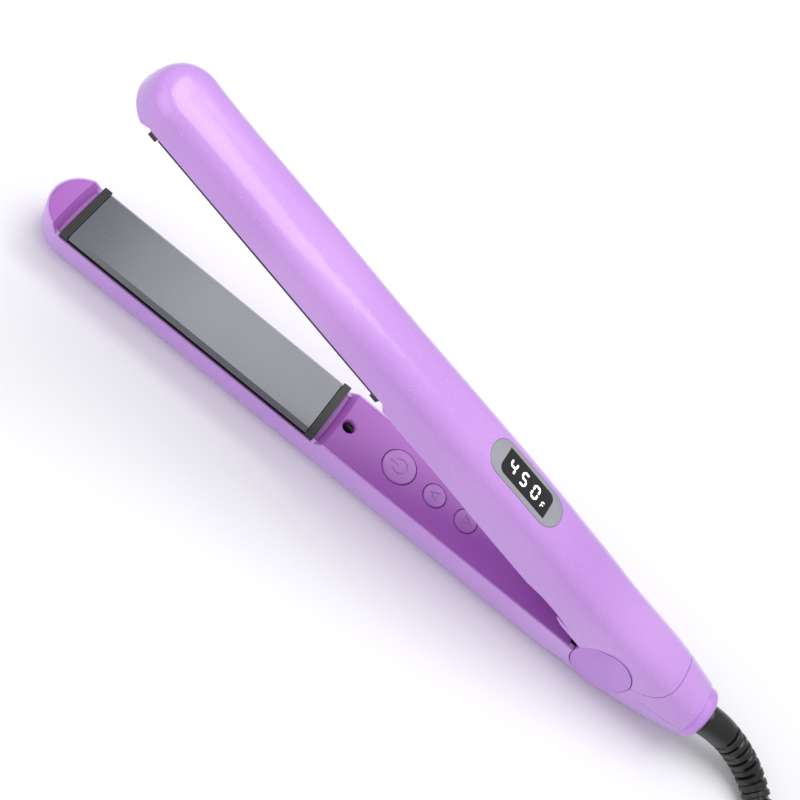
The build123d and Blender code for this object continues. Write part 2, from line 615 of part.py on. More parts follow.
def button(name):
    """One button: rounded head, flange under the face, stem to its switch and a sunk symbol."""
    place, diameter = BUTTONS[name]
    head = rod(0, 0, -FACE_UNDER - 0.1 - BUTTON_FLANGE, BUTTON_TOP, diameter)
    head = fillet(head.edges().group_by(Axis.Z)[-1], 0.35)
    head += rod(0, 0, -FACE_UNDER - 0.1 - BUTTON_FLANGE, -FACE_UNDER - 0.1,
                diameter + 2 * (SLIDE + BUTTON_FLANGE))
    head += rod(0, 0, SWITCH_TOP + PLUNGER_HEIGHT + BUTTON_TRAVEL + 0.1, -FACE_UNDER - 0.1, PLUNGER_DIAMETER)
    marks = {"power_button": power_symbol(), "up_button": arrow_symbol(-1),
             "down_button": arrow_symbol(1)}
    head -= extrude(Plane(origin=(0, 0, BUTTON_TOP)) * marks[name], -SYMBOL_DEPTH)
    return Pos(-place, 0, 0) * head


def control_board():
    """Main circuit board in the lower handle."""
    x1 = -BOARD_FROM_HINGE
    board = block(x1 - BOARD_LENGTH, x1, -BOARD_WIDTH / 2, BOARD_WIDTH / 2,
                  -BOARD_DEPTH - BOARD_THICK, -BOARD_DEPTH)
    for place in SCREW_PLACES:
        board -= rod(-place, 0, -30, 0, BOSS_DIAMETER + 2 * FIT)
    return board


def tact_switches():
    """Three switches on the board, one under each button."""
    switches = []
    for place, _ in BUTTONS.values():
        half = SWITCH_SIZE / 2
        body = block(-place - half, -place + half, -half, half, -BOARD_DEPTH, SWITCH_TOP)
        body += rod(-place, 0, SWITCH_TOP, SWITCH_TOP + PLUNGER_HEIGHT, PLUNGER_DIAMETER)
        switches.append(body)
    return switches


def board_parts():
    """Controller chip, triac and capacitor on the board."""
    place, diameter, height = CAPACITOR
    parts = [rod(-place, 0, -BOARD_DEPTH, -BOARD_DEPTH + height, diameter)]
    for place, length, width, height in (CHIP, TRIAC):
        parts.append(block(-place - length / 2, -place + length / 2, -width / 2, width / 2,
                           -BOARD_DEPTH, -BOARD_DEPTH + height))
    return parts


def terminal_block():
    """Two-way mains connector behind the board."""
    place, length, width, height = TERMINAL
    low = -BOARD_DEPTH - TERMINAL_DROP
    return block(-place - length / 2, -place + length / 2, -width / 2, width / 2, low, low + height)


def wires(points, spread, diameter):
    """Two wires along one bent line, each this far to its side in Y."""
    result = []
    for offset in (-spread, spread):
        line = Polyline(*[(x, y + offset, z) for x, y, z in points])
        start = Vector(*points[1]) - Vector(*points[0])
        origin = (points[0][0], points[0][1] + offset, points[0][2])
        result.append(sweep(Plane(origin=origin, z_dir=start) * Circle(diameter / 2), path=line,
                            transition=Transition.ROUND))
    return result


# ---- display -------------------------------------------------------------------------------------
def bezel_outline(gap):
    """Long round-ended outline of the display bezel."""
    return SlotOverall(BEZEL_LENGTH + 2 * gap, BEZEL_WIDTH + 2 * gap)


def window_outline(gap):
    """Display window: two square and two rounded corners."""
    sketch = Rectangle(WINDOW_LENGTH + 2 * gap, WINDOW_WIDTH + 2 * gap)
    corners = [v for v in sketch.vertices() if v.X * v.Y > 0]
    return fillet(corners, WINDOW_CORNER)


def crown_piece(outline, sunk, thick):
    """A piece flush with the crown of the upper arm inside a plan outline, in the open position."""
    column = swung_open(extrude(Plane(origin=(-DISPLAY_FROM_HINGE, 0, 10)) * outline, 14))
    drop = swung_open(Pos(0, 0, -sunk) * Vertex(0, 0, 0)).center()
    bottom = swung_open(Pos(0, 0, -thick) * Vertex(0, 0, 0)).center()
    form = upper_form(0)
    return (Pos(*drop) * form & column) - Pos(*bottom) * form


def display_bezel():
    """Grey bezel round the display window."""
    hole = extrude(Plane(origin=(-DISPLAY_FROM_HINGE, 0, 8)) * window_outline(FIT / 2), 16)
    return crown_piece(bezel_outline(0), 0.0, BEZEL_THICK) - swung_open(hole)


def display_window():
    """Dark window of the display."""
    return crown_piece(window_outline(0), WINDOW_SUNK, BEZEL_THICK - 0.2)


def display_board():
    """Display circuit board and its lamp block under the window."""
    length, width, thick = DISPLAY_BOARD
    top = DISPLAY_BOARD_LEVEL
    x = -DISPLAY_FROM_HINGE
    board = block(x - length / 2, x + length / 2, -width / 2, width / 2, top - thick, top)
    long, wide = WINDOW_LENGTH / 2 - LAMP_SHORT, WINDOW_WIDTH / 2 - LAMP_SHORT
    lamp = block(x - long, x + long, -wide, wide, top, top + LAMP_HEIGHT)
    return swung_open(board + lamp)


def guide_pin():
    """Pin of the upper arm that lines the plates up as the iron closes."""
    back = FACE_UNDER + GUIDE_FLANGE_THICK
    pin = rod(-GUIDE_FROM_HINGE, 0, -GUIDE_REACH, back, GUIDE_PIN)
    pin = chamfer(pin.edges().group_by(Axis.Z)[0], GUIDE_PIN / 5)
    return swung_open(pin + rod(-GUIDE_FROM_HINGE, 0, FACE_UNDER, back, GUIDE_FLANGE))


# ---- hinge ---------------------------------------------------------------------------------------
def hinge_pin():
    """Steel pin through both cheeks and the hub."""
    return cross_rod(0, 0, -PIN_LENGTH / 2, PIN_LENGTH / 2, PIN_DIAMETER)


def hinge_hub():
    """Knuckle of the upper arm: a barrel on the pin and a web up into the upper casing."""
    half = HUB_LENGTH / 2
    hub = cross_rod(0, 0, -half, half, HUB_DIAMETER)
    web = swung_open(block(-HUB_WEB_AHEAD, HUB_WEB_BEHIND, half - HUB_WEB_WIDTH, half, 0, ARM_WIDTH))
    web &= upper_form(WALL)
    return hub + web - cross_rod(0, 0, -half - 1, half + 1, PIN_DIAMETER + 2 * PIN_PLAY)


def hinge_cap(side):
    """Round domed cap over one end of the pin, with a boss against the cheek."""
    radius = CAP_DIAMETER / 2
    inner = CAP_EDGE - CAP_THICK
    disc = cross_rod(0, 0, inner, CAP_EDGE + CAP_DOME, CAP_DIAMETER)
    ball = (radius ** 2 + CAP_DOME ** 2) / (2 * CAP_DOME)
    disc &= Pos(0, CAP_EDGE + CAP_DOME - ball, 0) * Sphere(ball)
    cheek = HUB_LENGTH / 2 + SLIDE + CHEEK_THICK
    boss = cross_rod(0, 0, cheek, inner, CAP_BOSS)
    cap = disc + boss - cross_rod(0, 0, 0, PIN_LENGTH / 2 + 0.2, PIN_DIAMETER + 2 * FIT)
    return cap if side > 0 else mirror(cap, about=Plane.XZ)


def hinge_spring():
    """Torsion spring round the hub with a leg along each arm; it pushes the arms apart."""
    pitch = SPRING_WIRE * 1.08
    start = -HUB_LENGTH / 2 + SPRING_WIRE / 2 + 0.1
    turns = SPRING_TURNS + 0.5 - OPEN_ANGLE / 360
    coil = Helix(pitch, pitch * turns, SPRING_RADIUS, center=(0, start, 0), direction=(0, 1, 0))
    section = Plane(origin=coil @ 0, z_dir=coil % 0) * Circle(SPRING_WIRE / 2)
    spring = sweep(section, path=coil, is_frenet=True)
    for end in (0, 1):
        tip, way = coil @ end, coil % end
        forward = way * (1 if end else -1)
        leg = Plane(origin=tip, z_dir=forward) * Circle(SPRING_WIRE / 2)
        spring += extrude(leg, SPRING_LEG)
    return swung_open(spring)


# ---- tail and cord -------------------------------------------------------------------------------
def tail_ring():
    """End ring of the tail, rounded behind, with the bore that the swivel turns in."""
    ring = lower_form(0) + (upper_form(0, WALL) - block(-60, 60, -20, 20, -20, -RIM_DROP))
    ring &= block(RING_START + TAIL_RING_LINE, TAIL_REACH, -20, 20, -30, 30)
    rounding = TAIL_REACH - END_ROUNDING
    side = END_HALF + END_ROUNDING * 0.25
    outline = Wire([Line((0, 0), (0, side)), Line((0, side), (rounding, side)),
                    RadiusArc((rounding, side), (TAIL_REACH, side - END_ROUNDING), END_ROUNDING),
                    Line((TAIL_REACH, side - END_ROUNDING), (TAIL_REACH, 0)),
                    Line((TAIL_REACH, 0), (0, 0))])
    ring &= Pos(0, 0, -TAIL_AXIS_DROP) * revolve(make_face(outline), Axis.X)
    bore = Rot(0, 90, 0) * Cylinder(SWIVEL_DIAMETER / 2 + SLIDE, 60)
    return ring - Pos(RING_START, 0, -TAIL_AXIS_DROP) * bore


def swivel_barrel():
    """Barrel that turns in the tail ring, held by a flange on the inside."""
    z = -TAIL_AXIS_DROP
    back = RING_START - SLIDE
    flange = Pos(back - SWIVEL_FLANGE_THICK / 2, 0, z) * Rot(0, 90, 0) * Cylinder(
        SWIVEL_FLANGE / 2, SWIVEL_FLANGE_THICK)
    barrel = Pos((back + TAIL_REACH) / 2, 0, z) * Rot(0, 90, 0) * Cylinder(
        SWIVEL_DIAMETER / 2, TAIL_REACH - back)
    return flange + barrel


def strain_relief():
    """Tapered boot that bends down from the tail."""
    faces = []
    for index, (point, diameter) in enumerate(zip(BOOT_ROUTE, BOOT_DIAMETERS)):
        before = Vector(*BOOT_ROUTE[max(index - 1, 0)])
        after = Vector(*BOOT_ROUTE[min(index + 1, len(BOOT_ROUTE) - 1)])
        way = after - before
        if index == 0:
            way = Vector(1, 0, 0)
        if index == len(BOOT_ROUTE) - 1:
            way = Vector(*CORD_ROUTE[1]) - Vector(*point)
        faces.append(Plane(origin=point, z_dir=way) * Circle(diameter / 2))
    return loft(faces)


def cord_radii(route):
    """Radius of the arc at each inner point of a route."""
    points = [Vector(*point) for point in route]
    radii = []
    for before, here, after in zip(points, points[1:], points[2:]):
        half_turn = math.radians((here - before).get_angle(after - here)) / 2
        shorter = min((here - before).length, (after - here).length)
        radii.append(0.45 * shorter / math.tan(half_turn))
    return radii


def power_cord():
    """Cord from the boot to the hank."""
    radii = cord_radii(CORD_ROUTE)
    print("cord arc radii", [round(radius, 1) for radius in radii])
    path = FilletPolyline(*CORD_ROUTE, radius=radii)
    section = Plane(origin=CORD_ROUTE[0], z_dir=path % 0) * Circle(CORD_DIAMETER / 2)
    cord = sweep(section, path=path)
    expected = math.pi * CORD_DIAMETER ** 2 / 4 * path.length
    print("cord volume", round(cord.volume), "section times length", round(expected),
          "length", round(path.length, 1))
    return cord - cord_hank()


def cord_hank():
    """Outer shape of the folded cord: a long round-ended block lying on the floor."""
    x = HANK_START + HANK_LENGTH / 2
    plan = Plane(origin=(x, HANK_MIDDLE, FLOOR_LEVEL)) * SlotOverall(HANK_LENGTH, HANK_WIDTH)
    return extrude(plan, HANK_HEIGHT)


def cord_tie():
    """Wide soft tie round the middle of the hank."""
    x = HANK_START + HANK_LENGTH / 2
    half = HANK_WIDTH / 2
    outer = block(x - TIE_WIDTH / 2, x + TIE_WIDTH / 2, HANK_MIDDLE - half - TIE_THICK,
                  HANK_MIDDLE + half + TIE_THICK, FLOOR_LEVEL, FLOOR_LEVEL + HANK_HEIGHT + TIE_THICK)
    return outer - cord_hank()


def plug_body():
    """Moulded two-pin plug with its own short relief."""
    body = block(PLUG_START, PLUG_START + PLUG_LENGTH, PLUG_Y - PLUG_WIDTH / 2, PLUG_Y + PLUG_WIDTH / 2,
                 FLOOR_LEVEL, FLOOR_LEVEL + PLUG_HEIGHT)
    body = fillet(body.edges().filter_by(Axis.X), PLUG_ROUNDING)
    ends = [Plane(origin=(x, PLUG_Y, PLUG_Z), z_dir=(1, 0, 0)) * Circle(diameter / 2)
            for x, diameter in zip((RELIEF_START, PLUG_START), RELIEF_DIAMETERS)]
    return body + loft(ends) - cord_hank()


def plug_blades():
    """Two flat blades."""
    x0 = PLUG_START + PLUG_LENGTH
    return [block(x0, x0 + BLADE_LENGTH, y - BLADE_THICK / 2, y + BLADE_THICK / 2,
                  PLUG_Z - BLADE_WIDTH / 2, PLUG_Z + BLADE_WIDTH / 2)
            for y in (PLUG_Y - BLADE_SPACING / 2, PLUG_Y + BLADE_SPACING / 2)]


def screw(x, head_z):
    """A cross-head screw driven upwards, its head's face at the given height."""
    head = rod(x, 0, head_z, head_z + HEAD_THICK, SCREW_HEAD)
    cross = Box(CROSS_LENGTH, CROSS_WIDTH, HEAD_THICK) + Box(CROSS_WIDTH, CROSS_LENGTH, HEAD_THICK)
    shank = rod(x, 0, head_z + HEAD_THICK, head_z + SCREW_LENGTH, SCREW_SHANK)
    return head + shank - Pos(x, 0, head_z) * cross


# ---- nodes ---------------------------------------------------------------------------------------
def arm_nodes():
    """The pieces that both arms have, as the lower arm's and the upper arm's own nodes."""
    pieces = {"tip_cover": tip_cover, "plate_frame": plate_frame, "plate": plate, "heater": heater,
              "heater_clamp": heater_clamp, "thermistor": thermistor}
    nodes = {}
    for name, make in pieces.items():
        nodes["lower_" + name] = make()
        nodes["upper_" + name] = swung_open(flipped(make()))
    nodes["lower_cushions"] = cushions()
    nodes["upper_cushions"] = [swung_open(flipped(pad)) for pad in cushions()]
    nodes["lower_heat_shield"] = heat_shield() & lower_form(WALL + 0.05)
    nodes["upper_heat_shield"] = swung_open(flipped(heat_shield())) & upper_form(WALL + 0.05)
    return nodes


def lead_nodes():
    """Mains leads from the tail to the terminal block and the heaters' leads along both arms."""
    ends = (RING_START - SWIVEL_FLANGE_THICK - 2 * SLIDE, -TERMINAL[0] + TERMINAL[1] / 2 + 0.1)
    low = -BOARD_DEPTH - TERMINAL_DROP + MAINS_SPREAD
    mains = [(ends[0], 0, -TAIL_AXIS_DROP), (26.0, 0, -4.0), (8.0, 0, low - 0.6), (ends[1], 0, low)]
    x = PLATE_MIDDLE + HEATER_LENGTH / 2 + CLAMP_LUG + 1
    z = SPREADER_UNDER + HEATER_LEAD_DROP
    board_end = -BOARD_FROM_HINGE - BOARD_LENGTH - 1
    lower = [(x, 0, -z), (x + 12, 0, -z - 1), (board_end, 0, -z - 1.5)]
    upper = [(x, 0, z), (x + 22, 0, z + 1), (-60.0, 0, 9.0), (-12.0, 0, 9.0)]
    return {
        "mains_leads": wires(mains, MAINS_SPREAD, MAINS_LEAD),
        "lower_heater_leads": wires(lower, HEATER_SPREAD, HEATER_LEAD),
        "upper_heater_leads": [swung_open(wire) for wire in wires(upper, HEATER_SPREAD, HEATER_LEAD)],
    }


def all_nodes():
    """Every node of the iron, about the hinge."""
    nodes = arm_nodes() | lead_nodes()
    nodes["lower_shell"] = lower_shell()
    nodes["lower_handle_face"] = lower_handle_face()
    nodes["upper_shell"] = upper_shell()
    nodes["upper_handle_face"] = swung_open(upper_handle_face())
    for name in BUTTONS:
        nodes[name] = button(name)
    nodes["control_board"] = control_board()
    nodes["tact_switches"] = tact_switches()
    nodes["board_parts"] = board_parts()
    nodes["terminal_block"] = terminal_block()
    nodes["display_bezel"] = display_bezel()
    nodes["display_window"] = display_window()
    nodes["display_board"] = display_board()
    nodes["guide_pin"] = guide_pin()
    nodes["hinge_pin"] = hinge_pin()
    nodes["hinge_hub"] = hinge_hub()
    nodes["hinge_cap_near"] = hinge_cap(-1)
    nodes["hinge_cap_far"] = hinge_cap(1)
    nodes["hinge_spring"] = hinge_spring()
    low = FLOOR_LEVEL + SLEEVE_HEIGHT - SLEEVE_FLOOR - HEAD_THICK
    nodes["lower_screws"] = [screw(-place, low) for place in SCREW_PLACES]
    high = RIM_DROP + SCREW_SINK
    nodes["upper_screws"] = [swung_open(screw(-place, high)) for place in SCREW_PLACES]
    nodes["tail_ring"] = tail_ring()
    nodes["swivel_barrel"] = swivel_barrel()
    nodes["strain_relief"] = strain_relief()
    nodes["power_cord"] = power_cord()
    nodes["cord_hank"] = cord_hank()
    nodes["cord_tie"] = cord_tie()
    nodes["plug_body"] = plug_body()
    nodes["plug_blades"] = plug_blades()
    return nodes


os.makedirs("parts", exist_ok=True)
for node_name, shape in all_nodes().items():
    shapes = shape if isinstance(shape, list) else [shape]
    solids = [solid for piece in shapes for solid in placed(piece).solids()]
    result = solids[0] if len(solids) == 1 else Compound(children=solids)
    export_step(result, f"parts/{node_name}.step")
    print(node_name, len(solids), round(sum(solid.volume for solid in solids)))
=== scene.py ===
"""Flat iron with two hinged arms: its finishes and fine pieces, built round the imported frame.

Lengths of the pieces are millimetres about the hinge, as a maker would draw them, and one function
turns them into metres in the shared frame. The camera and the studio are in metres from the start.
"""

from __future__ import annotations

import logging
import math
from dataclasses import dataclass
from enum import Enum
from typing import Any, Iterable, Sequence

import bmesh
import bpy
from mathutils import Matrix, Quaternion, Vector
from mathutils.bvhtree import BVHTree

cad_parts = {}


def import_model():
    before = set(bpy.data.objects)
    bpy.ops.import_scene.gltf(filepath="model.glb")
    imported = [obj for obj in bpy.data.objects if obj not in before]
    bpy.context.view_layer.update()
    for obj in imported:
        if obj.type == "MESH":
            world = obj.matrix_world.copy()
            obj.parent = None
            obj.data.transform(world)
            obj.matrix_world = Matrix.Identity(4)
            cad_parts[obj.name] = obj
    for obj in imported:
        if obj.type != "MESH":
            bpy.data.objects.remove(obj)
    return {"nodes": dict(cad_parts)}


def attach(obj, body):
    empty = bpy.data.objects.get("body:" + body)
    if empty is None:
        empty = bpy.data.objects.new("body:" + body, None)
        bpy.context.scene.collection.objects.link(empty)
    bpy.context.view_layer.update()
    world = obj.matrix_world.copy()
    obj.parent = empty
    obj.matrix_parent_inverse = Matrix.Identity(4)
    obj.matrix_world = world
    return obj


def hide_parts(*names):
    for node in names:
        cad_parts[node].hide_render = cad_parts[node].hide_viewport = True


LOG = logging.getLogger("flat_iron")
MM = 0.001
HINGE = Vector((0.1035, 0.0, 0.0173))
OPEN_ANGLE = math.radians(18.0)
WAVE_CYCLES = 20 / math.tau  # bands of a wave texture in one unit at a scale of one
FIRED_DETAIL, PLAIN_DETAIL, DRIFT_DETAIL = 5.0, 2.0, 1.0  # octaves of the noise textures
LIT_SEGMENTS = {"0": "abcdef", "4": "bcfg", "5": "acdfg", "F": "aefg"}  # a is the top, g the middle

Point = Sequence[float]
Colour = tuple[float, float, float, float]


# ---- shared helpers ------------------------------------------------------------------------------
def linear(code: str) -> Colour:
    """Turns an sRGB hex colour into linear light.

    Args:
        code: Six hex digits, such as "C79AE0".

    Returns:
        Linear red, green and blue, with an alpha of one.
    """
    parts = [int(code[i:i + 2], 16) / 255 for i in (0, 2, 4)]
    light = [c / 12.92 if c <= 0.04045 else ((c + 0.055) / 1.055) ** 2.4 for c in parts]
    return (light[0], light[1], light[2], 1.0)


def place(point: Point) -> Vector:
    """Turns a point in millimetres about the hinge into metres in the shared frame."""
    return HINGE + Vector(point) * MM


def add(tree: bpy.types.NodeTree, kind: str, sockets: dict[Any, Any] | None = None,
        **settings: Any) -> bpy.types.Node:
    """Adds a node with its settings, values and links.

    Args:
        tree: The node tree that gets the node.
        kind: The node's type name.
        sockets: Input name or number to a value, or to an output socket that it is linked from.
        **settings: Attributes of the node itself.

    Returns:
        The new node.
    """
    made = tree.nodes.new(kind)
    for name, value in settings.items():
        setattr(made, name, value)
    for name, value in (sockets or {}).items():
        if isinstance(value, bpy.types.NodeSocket):
            tree.links.new(value, made.inputs[name])
        else:
            made.inputs[name].default_value = value
    return made


def piece_from(name: str, points: Iterable[Point], faces: Iterable[Sequence[int]],
               material: bpy.types.Material, smooth_degrees: float = 35.0) -> bpy.types.Object:
    """Makes a mesh object in the shared frame with its normals pointing outwards.

    Args:
        name: The piece's name.
        points: Its vertices, in metres.
        faces: Vertex numbers of each face.
        material: Its finish.
        smooth_degrees: Edges sharper than this stay crisp.

    Returns:
        The new object.
    """
    mesh = bpy.data.meshes.new(name)
    mesh.from_pydata([tuple(p) for p in points], [], [tuple(f) for f in faces])
    work = bmesh.new()
    work.from_mesh(mesh)
    bmesh.ops.recalc_face_normals(work, faces=work.faces)
    work.to_mesh(mesh)
    work.free()
    mesh.polygons.foreach_set("use_smooth", [True] * len(mesh.polygons))
    mesh.set_sharp_from_angle(angle=math.radians(smooth_degrees))
    mesh.materials.append(material)
    made = bpy.data.objects.new(name, mesh)
    bpy.context.scene.collection.objects.link(made)
    return made


def smooth_line(points: Sequence[Vector], steps: int) -> list[Vector]:
    """A smooth line through points, as a Catmull-Rom curve.

    Args:
        points: The points that it passes through.
        steps: Stretches between two of them.

    Returns:
        Points along the line, with both ends.
    """
    ends = [points[0] * 2 - points[1], *points, points[-1] * 2 - points[-2]]
    line = []
    for a, b, c, d in zip(ends, ends[1:], ends[2:], ends[3:]):
        for step in range(steps):
            t = step / steps
            line.append(0.5 * (2 * b + (c - a) * t + (2 * a - 5 * b + 4 * c - d) * t ** 2
                               + (3 * b - a - 3 * c + d) * t ** 3))
    return [*line, points[-1]]


def frames_along(line: Sequence[Vector]) -> list[tuple[Vector, Vector]]:
    """Frames carried along a line without twist.

    Args:
        line: Points of the line.

    Returns:
        At each point the two directions across it.
    """
    across = Vector((0, 1, 0))
    frames = []
    for before, after in zip([line[0], *line[:-1]], [*line[1:], line[-1]]):
        way = (after - before).normalized()
        across = (across - way * across.dot(way)).normalized()
        frames.append((across, way.cross(across)))
    return frames


# ---- finishes ------------------------------------------------------------------------------------
class Texture(Enum):
    """How a surface was made, which sets its fine pattern."""

    MOULDED = "moulded"
    BRUSHED = "brushed"
    WOVEN = "woven"
    FIRED = "fired"


@dataclass(frozen=True)
class Finish:
    """A real material with the way its surface was made.

    The colour drifts between two shades over some distance, and the pattern's relief is a bump.
    """

    name: str
    light: str
    dark: str
    roughness: tuple[float, float]
    texture: Texture = Texture.MOULDED
    grain_mm: float = 0.5
    relief_mm: float = 0.004
    drift_mm: float = 25.0
    ior: float = 1.5
    metallic: float = 0.0
    coat: float = 0.0
    coat_roughness: float = 0.06
    sheen: float = 0.0
    see_through: float = 0.0
    glow: float = 0.0
    brush_stretch: float = 0.04
    pattern_tint: float = 0.25
    tint_range: tuple[float, float] = (0.35, 0.9)
    pattern_range: tuple[float, float] = (0.3, 0.7)

    def pattern(self, tree: bpy.types.NodeTree, coords: bpy.types.NodeSocket) -> bpy.types.NodeSocket:
        """The fine pattern of the surface.

        Args:
            tree: The material's nodes.
            coords: Place on the object, in metres.

        Returns:
            A socket with the pattern's height from 0 to 1.
        """
        scale = 1 / (self.grain_mm * MM)
        if self.texture is Texture.WOVEN:
            waves = [add(tree, "ShaderNodeTexWave", {"Vector": coords, "Scale": scale / WAVE_CYCLES},
                         bands_direction=way).outputs["Fac"] for way in ("X", "DIAGONAL")]
            return add(tree, "ShaderNodeMath", {0: waves[0], 1: waves[1]},
                       operation="MAXIMUM").outputs[0]
        if self.texture is Texture.BRUSHED:
            coords = add(tree, "ShaderNodeMapping",
                         {"Vector": coords, "Scale": (self.brush_stretch, 1.0, 1.0)}).outputs[0]
        detail = FIRED_DETAIL if self.texture is Texture.FIRED else PLAIN_DETAIL
        return add(tree, "ShaderNodeTexNoise",
                   {"Vector": coords, "Scale": scale, "Detail": detail}).outputs["Fac"]

    def colour(self, tree: bpy.types.NodeTree, coords: bpy.types.NodeSocket,
               pattern: bpy.types.NodeSocket) -> bpy.types.NodeSocket:
        """The surface's colour, drifting between its two shades.

        Args:
            tree: The material's nodes.
            coords: Place on the object, in metres.
            pattern: The fine pattern, which tints the colour a little.

        Returns:
            A colour socket.
        """
        drift = add(tree, "ShaderNodeTexNoise",
                    {"Vector": coords, "Scale": 1 / (self.drift_mm * MM),
                     "Detail": DRIFT_DETAIL}).outputs["Fac"]
        share = add(tree, "ShaderNodeMath", {0: pattern, 1: self.pattern_tint, 2: drift},
                    operation="MULTIPLY_ADD").outputs[0]
        ramp = add(tree, "ShaderNodeMapRange",
                   {"Value": share, "From Min": self.tint_range[0],
                    "From Max": self.tint_range[1]}).outputs[0]
        return add(tree, "ShaderNodeMix", {0: ramp, 6: linear(self.dark), 7: linear(self.light)},
                   data_type="RGBA").outputs[2]

    def make(self) -> bpy.types.Material:
        """Builds the material once, and hands back the same one after that.

        Returns:
            The material.
        """
        if self.name in bpy.data.materials:
            return bpy.data.materials[self.name]
        material = bpy.data.materials.new(self.name)
        material.use_nodes = True
        tree = material.node_tree
        shader = tree.nodes["Principled BSDF"]
        coords = add(tree, "ShaderNodeTexCoord").outputs["Object"]
        pattern = self.pattern(tree, coords)
        tree.links.new(self.colour(tree, coords, pattern), shader.inputs["Base Color"])
        low, high = self.pattern_range
        rough = add(tree, "ShaderNodeMapRange", {"Value": pattern, "From Min": low, "From Max": high,
                                                 "To Min": self.roughness[0],
                                                 "To Max": self.roughness[1]})
        tree.links.new(rough.outputs[0], shader.inputs["Roughness"])
        bump = add(tree, "ShaderNodeBump", {"Height": pattern, "Distance": self.relief_mm * MM})
        tree.links.new(bump.outputs[0], shader.inputs["Normal"])
        values = {"IOR": self.ior, "Metallic": self.metallic, "Coat Weight": self.coat,
                  "Coat Roughness": self.coat_roughness, "Sheen Weight": self.sheen,
                  "Transmission Weight": self.see_through}
        for socket, value in values.items():
            shader.inputs[socket].default_value = value
        if self.glow:
            shader.inputs["Emission Color"].default_value = linear(self.light)
            shader.inputs["Emission Strength"].default_value = self.glow
        return material


@dataclass(frozen=True)
class PearlLacquer(Finish):
    """Lacquer with interference pearl: pinker face on, bluer where the surface turns away, and darker
    there as painted shade.
    """

    # Colour where the surface turns from view: the pearl's bluer shift, darkened as painted shade.
    turned: str = "A889CE"
    # Near-white of the flakes: a painted glint.
    flake_glint: str = "F3EEFF"
    flake_mm: float = 0.22
    glint_share: float = 0.02
    glint_strength: float = 0.4
    facing_blend: float = 0.35
    turned_shade_range: tuple[float, float] = (0.25, 0.9)
    turned_shade_strength: float = 0.75

    def colour(self, tree: bpy.types.NodeTree, coords: bpy.types.NodeSocket,
               pattern: bpy.types.NodeSocket) -> bpy.types.NodeSocket:
        """Adds to the drifting colour the pearl's shift, with painted shade where the surface turns away,
        and flakes painted as bright glints.

        Args:
            tree: The material's nodes.
            coords: Place on the object, in metres.
            pattern: The fine pattern.

        Returns:
            A colour socket.
        """
        base = super().colour(tree, coords, pattern)
        # Mixes towards the turned colour by facing: partly the pearl's hue shift, partly painted shade on
        # the turning shoulders.
        facing = add(tree, "ShaderNodeLayerWeight", {"Blend": self.facing_blend}).outputs["Facing"]
        turn = add(tree, "ShaderNodeMapRange", {"Value": facing, "From Min": self.turned_shade_range[0],
                                                "From Max": self.turned_shade_range[1],
                                                "To Max": self.turned_shade_strength}).outputs[0]
        shifted_and_shaded = add(tree, "ShaderNodeMix", {0: turn, 6: base, 7: linear(self.turned)},
                      data_type="RGBA").outputs[2]
        # Flakes painted as glints: a small share of cells mixed towards near-white.
        flakes = add(tree, "ShaderNodeTexVoronoi",
                     {"Vector": coords, "Scale": 1 / (self.flake_mm * MM)}).outputs["Color"]
        chance = add(tree, "ShaderNodeSeparateColor", {0: flakes}).outputs[0]
        lit = add(tree, "ShaderNodeMapRange", {"Value": chance, "From Min": 1 - self.glint_share,
                                               "From Max": 1.0, "To Max": self.glint_strength}).outputs[0]
        return add(tree, "ShaderNodeMix", {0: lit, 6: shifted_and_shaded, 7: linear(self.flake_glint)},
                   data_type="RGBA").outputs[2]


# ABS sprayed with pearl lacquer under clear coat: soft wide highlight, painted shade where it turns away,
# tiny flakes painted as bright glints.
PEARL_ABS = PearlLacquer("abs_pearl_lacquered", "CF9BE6", "BE88DA", (0.26, 0.36), grain_mm=0.3,
                         relief_mm=0.0008, drift_mm=60.0, coat=0.6, coat_roughness=0.12)
# A plainer lacquer without flakes, on the hinge caps and the tail ring.
PLAIN_ABS = Finish("abs_lacquered", "C68FE2", "B981D8", (0.28, 0.36), grain_mm=0.4,
                   relief_mm=0.0015, drift_mm=18.0, coat=0.4, coat_roughness=0.15)
# PC-ABS moulded with a fine spark-eroded texture: even violet with a dull sheen.
SATIN_VIOLET = Finish("pc_abs_moulded_satin", "B56CC8", "A75BBB", (0.42, 0.52), grain_mm=0.35,
                      relief_mm=0.004, drift_mm=35.0, coat=0.1, coat_roughness=0.35)
# Moulded button caps, a little paler and smoother than the face round them.
BUTTON_ABS = Finish("abs_moulded_buttons", "B878CC", "AC6AC2", (0.34, 0.42), grain_mm=0.3,
                    relief_mm=0.002, drift_mm=9.0, coat=0.2, coat_roughness=0.25)
# Aluminium plates with a fired ceramic coat: dark grey, smooth, with a very fine speckle.
CERAMIC_COAT = Finish("aluminium_ceramic_coated", "63656C", "5B5D64", (0.2, 0.3),
                      texture=Texture.FIRED, grain_mm=0.25, relief_mm=0.0012, drift_mm=30.0,
                      metallic=0.35, coat=0.35, coat_roughness=0.12)
# Glass-filled PPS of frames, switches and swivel: near black, satin, with a faint grain.
BLACK_PPS = Finish("pps_moulded_black", "17171A", "0B0B0D", (0.34, 0.5), grain_mm=0.3,
                   relief_mm=0.004, drift_mm=12.0)
# Cold-drawn steel of pins, springs, screws and clamps: bright, with fine lines.
DRAWN_STEEL = Finish("steel_drawn", "B9BABD", "9B9CA1", (0.22, 0.34), texture=Texture.BRUSHED,
                     grain_mm=0.12, relief_mm=0.002, drift_mm=6.0, metallic=1.0)
